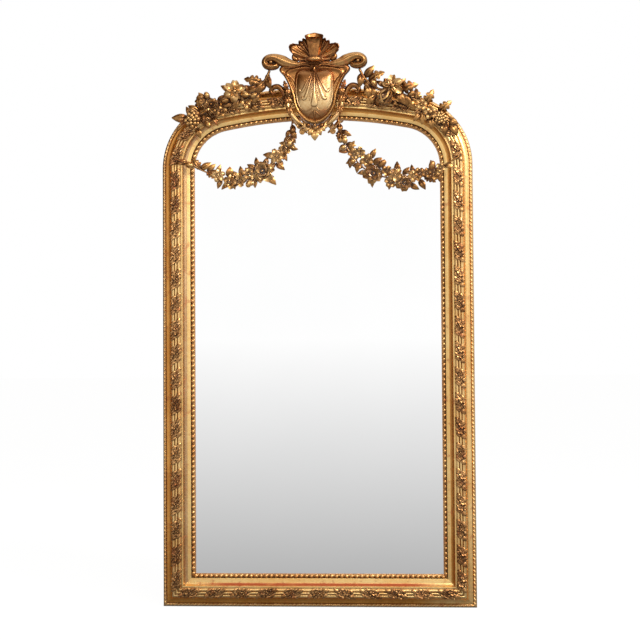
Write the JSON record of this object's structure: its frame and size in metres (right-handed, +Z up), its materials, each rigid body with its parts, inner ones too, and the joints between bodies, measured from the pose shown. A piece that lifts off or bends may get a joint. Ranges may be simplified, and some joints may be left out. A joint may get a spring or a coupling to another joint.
{
  "type": "wall mirror with gilded frame",
  "caption": "Tall arch-topped mirror in a gilded wooden frame with beading, ribbon-and-reed moulding, a carved cartouche crest, flower garlands and hanging swags.",
  "frame": {"origin": "on the flat back of the bottom rail, at the rail's middle", "axes": "+Z up, +X to the right seen from the front, +Y into the wall; the glass faces -Y"},
  "size_m": [0.998, 0.112, 1.8233],
  "materials": {
    "gilt_wood": "gold leaf over red bole, aged and rubbed",
    "gilt_composition": "gold leaf over gesso and composition, toned dark in the hollows",
    "pine": "bare aged pine",
    "iron": "dark, lightly rusted",
    "silvered_glass": "clear mirror glass"
  },
  "bodies": {
    "root": {"left_stile": "gilt_wood", "right_stile": "gilt_wood", "bottom_rail": "gilt_wood", "arch_left": "gilt_wood", "arch_crown": "gilt_wood", "arch_right": "gilt_wood", "mitre_key_left": "pine", "mitre_key_right": "pine", "springing_key_left": "pine", "springing_key_right": "pine", "crown_key_left": "pine", "crown_key_right": "pine", "hanging_plate_left": "iron", "plate_screw_left_1": "iron", "plate_screw_left_2": "iron", "hanging_plate_right": "iron", "plate_screw_right_1": "iron", "plate_screw_right_2": "iron", "bead_course_left": "gilt_composition", "bead_course_right": "gilt_composition", "bead_course_bottom": "gilt_composition", "bead_course_arch": "gilt_composition", "reeds_left": "gilt_composition", "reeds_right": "gilt_composition", "reeds_bottom": "gilt_composition", "reeds_arch": "gilt_composition", "rope_edge_left": "gilt_composition", "rope_edge_right": "gilt_composition", "rope_edge_bottom": "gilt_composition", "rope_edge_arch": "gilt_composition", "mirror_plate": "silvered_glass", "back_board_1": "pine", "back_board_2": "pine", "back_board_3": "pine", "back_board_4": "pine", "glass_block_left_1": "pine", "glass_block_left_2": "pine", "glass_block_left_3": "pine", "glass_block_right_1": "pine", "glass_block_right_2": "pine", "glass_block_right_3": "pine", "glass_block_bottom_1": "pine", "glass_block_bottom_2": "pine", "crest_block": "pine", "cartouche": "gilt_wood", "shield_boss": "gilt_wood", "shell_crest": "gilt_wood", "cabochon": "gilt_wood", "strap_left": "gilt_wood", "strap_right": "gilt_wood", "pendant_palmette": "gilt_wood", "garland_left": "gilt_composition", "garland_right": "gilt_composition", "swag_left": "gilt_composition", "swag_right": "gilt_composition"}
  },
  "joints": []
}
